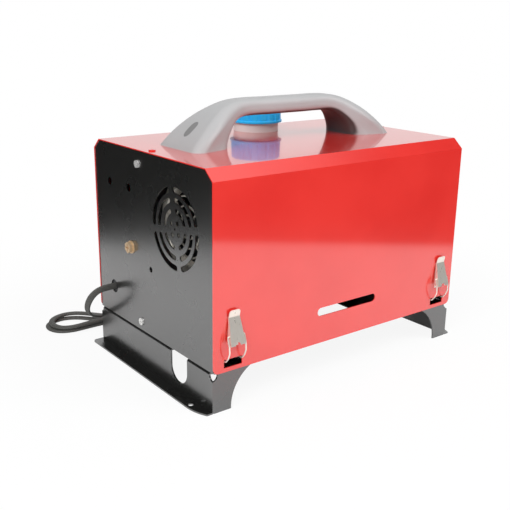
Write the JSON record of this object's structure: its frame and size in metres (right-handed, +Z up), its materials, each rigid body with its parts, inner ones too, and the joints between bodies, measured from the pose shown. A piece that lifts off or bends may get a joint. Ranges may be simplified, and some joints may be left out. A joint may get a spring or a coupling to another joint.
{
  "type": "portable diesel air heater",
  "caption": "Portable diesel air heater: red sheet hood with carrying handle and toggle latches on black folded feet, fuel tank with screw cap, cord in a hank.",
  "frame": {"origin": "middle of the footprint of the two foot brackets, on the floor", "axes": "+X runs along the case from the cold-air end to the warm-air end, +Y from the front to the back, +Z up"},
  "size_m": [0.4656, 0.3815, 0.3339],
  "materials": {
    "black_moulding": "satin",
    "black_paint": "satin",
    "black_rubber": "matte",
    "blue_cap": "gloss",
    "brass_bolt": "satin",
    "bright_nickel": "polished",
    "button_grey": "satin",
    "cast_alloy": "as cast",
    "cord_jacket": "satin",
    "dark_plug": "matte",
    "grey_handle": "satin",
    "lens": "gloss",
    "pipe_steel": "satin",
    "red_enamel": "gloss",
    "red_screw": "gloss",
    "tank_plastic": "matte",
    "white_collar": "gloss",
    "zinc_screw": "satin",
    "zinc_sheet": "satin"
  },
  "bodies": {
    "chassis": {"base_pan": "black_paint", "blower_motor": "black_moulding", "burner": "pipe_steel", "case_screws": "zinc_screw", "combustion_housing": "cast_alloy", "control_panel": "black_moulding", "control_unit": "black_moulding", "cord_clip": "dark_plug", "cord_plug": "dark_plug", "cord_tie": "dark_plug", "cover": "red_enamel", "cover_screws": "red_screw", "display_lens": "lens", "end_plate_left": "black_paint", "end_plate_right": "black_paint", "exhaust_pipe": "pipe_steel", "filler_collar": "white_collar", "foot_bracket_left": "black_paint", "foot_bracket_right": "black_paint", "fuel_filter": "tank_plastic", "fuel_lines": "black_rubber", "fuel_pump": "pipe_steel", "fuel_tank": "tank_plastic", "handle": "grey_handle", "handle_bolts": "bright_nickel", "handle_plugs": "dark_plug", "heat_exchanger": "cast_alloy", "heater_stand": "zinc_sheet", "inlet_guard": "bright_nickel", "intake_pipe": "pipe_steel", "jacket_lower": "black_moulding", "jacket_upper": "black_moulding", "latch_bases": "bright_nickel", "outlet_collar": "black_moulding", "outlet_duct": "black_moulding", "partition": "zinc_sheet", "power_cord_hank": "cord_jacket", "power_cord_run": "cord_jacket", "pump_bolt": "brass_bolt", "pump_clamp": "zinc_sheet", "tank_straps": "zinc_sheet"},
    "key_down": {"button_down": "button_grey"},
    "key_power": {"button_power": "button_grey"},
    "key_set": {"button_set": "button_grey"},
    "key_up": {"button_up": "button_grey"},
    "cap_seal": {"cap_seal": "black_rubber"},
    "rotor": {"combustion_impeller": "pipe_steel", "fan_impeller": "black_moulding", "motor_shaft": "pipe_steel"},
    "cap": {"fuel_cap": "blue_cap"},
    "bail_back_left": {"latch_bail_back_left": "bright_nickel"},
    "bail_back_right": {"latch_bail_back_right": "bright_nickel"},
    "bail_front_left": {"latch_bail_front_left": "bright_nickel"},
    "bail_front_right": {"latch_bail_front_right": "bright_nickel"},
    "lever_back_left": {"latch_lever_back_left": "bright_nickel"},
    "lever_back_right": {"latch_lever_back_right": "bright_nickel"},
    "lever_front_left": {"latch_lever_front_left": "bright_nickel"},
    "lever_front_right": {"latch_lever_front_right": "bright_nickel"},
    "nozzle": {"outlet_nozzle": "black_moulding"}
  },
  "joints": [
    {"name": "blower_spin", "type": "hinge", "parent": "chassis", "child": "rotor", "pos_m": [-0.158, -0.0584, 0.1992], "axis": [1, 0, 0], "continuous": true},
    {"name": "nozzle_turn", "type": "hinge", "parent": "chassis", "child": "nozzle", "pos_m": [0.2065, -0.0584, 0.1992], "axis": [1, 0, 0], "continuous": true},
    {"name": "fuel_cap_rise", "type": "slide", "parent": "chassis", "child": "cap_seal", "axis": [0, 0, 1], "range_m": [0, 0.01801]},
    {"name": "fuel_cap_turn", "type": "hinge", "parent": "cap_seal", "child": "cap", "pos_m": [0.0214, 0.0813, 0.3], "axis": [0, 0, 1], "range_deg": [0, 1080]},
    {"name": "lever_front_left_swing", "type": "hinge", "parent": "chassis", "child": "lever_front_left", "pos_m": [-0.173, -0.1409, 0.0855], "axis": [1, 0, 0], "range_deg": [0, 95]},
    {"name": "bail_front_left_swing", "type": "hinge", "parent": "lever_front_left", "child": "bail_front_left", "pos_m": [-0.173, -0.1411, 0.0925], "axis": [1, 0, 0], "range_deg": [-76.1, 0]},
    {"name": "lever_front_right_swing", "type": "hinge", "parent": "chassis", "child": "lever_front_right", "pos_m": [0.173, -0.1409, 0.0855], "axis": [1, 0, 0], "range_deg": [0, 95]},
    {"name": "bail_front_right_swing", "type": "hinge", "parent": "lever_front_right", "child": "bail_front_right", "pos_m": [0.173, -0.1411, 0.0925], "axis": [1, 0, 0], "range_deg": [-76.1, 0]},
    {"name": "lever_back_left_swing", "type": "hinge", "parent": "chassis", "child": "lever_back_left", "pos_m": [-0.173, 0.1409, 0.0855], "axis": [-1, 0, 0], "range_deg": [0, 95]},
    {"name": "bail_back_left_swing", "type": "hinge", "parent": "lever_back_left", "child": "bail_back_left", "pos_m": [-0.173, 0.1411, 0.0925], "axis": [-1, 0, 0], "range_deg": [-76.1, 0]},
    {"name": "lever_back_right_swing", "type": "hinge", "parent": "chassis", "child": "lever_back_right", "pos_m": [0.173, 0.1409, 0.0855], "axis": [-1, 0, 0], "range_deg": [0, 95]},
    {"name": "bail_back_right_swing", "type": "hinge", "parent": "lever_back_right", "child": "bail_back_right", "pos_m": [0.173, 0.1411, 0.0925], "axis": [-1, 0, 0], "range_deg": [-76.1, 0]},
    {"name": "key_power_press", "type": "slide", "parent": "chassis", "child": "key_power", "axis": [-1, 0, 0], "range_m": [0, 0.0012], "stiffness_N_per_m": 400},
    {"name": "key_down_press", "type": "slide", "parent": "chassis", "child": "key_down", "axis": [-1, 0, 0], "range_m": [0, 0.0012], "stiffness_N_per_m": 400},
    {"name": "key_up_press", "type": "slide", "parent": "chassis", "child": "key_up", "axis": [-1, 0, 0], "range_m": [0, 0.0012], "stiffness_N_per_m": 400},
    {"name": "key_set_press", "type": "slide", "parent": "chassis", "child": "key_set", "axis": [-1, 0, 0], "range_m": [0, 0.0012], "stiffness_N_per_m": 400}
  ],
  "couplings": [
    {"joint": "fuel_cap_rise", "follows": "fuel_cap_turn", "m_per_rad": 0.00095493},
    {"joint": "bail_front_left_swing", "follows": "lever_front_left_swing", "ratio": -0.8},
    {"joint": "bail_front_right_swing", "follows": "lever_front_right_swing", "ratio": -0.8},
    {"joint": "bail_back_left_swing", "follows": "lever_back_left_swing", "ratio": -0.8},
    {"joint": "bail_back_right_swing", "follows": "lever_back_right_swing", "ratio": -0.8}
  ]
}
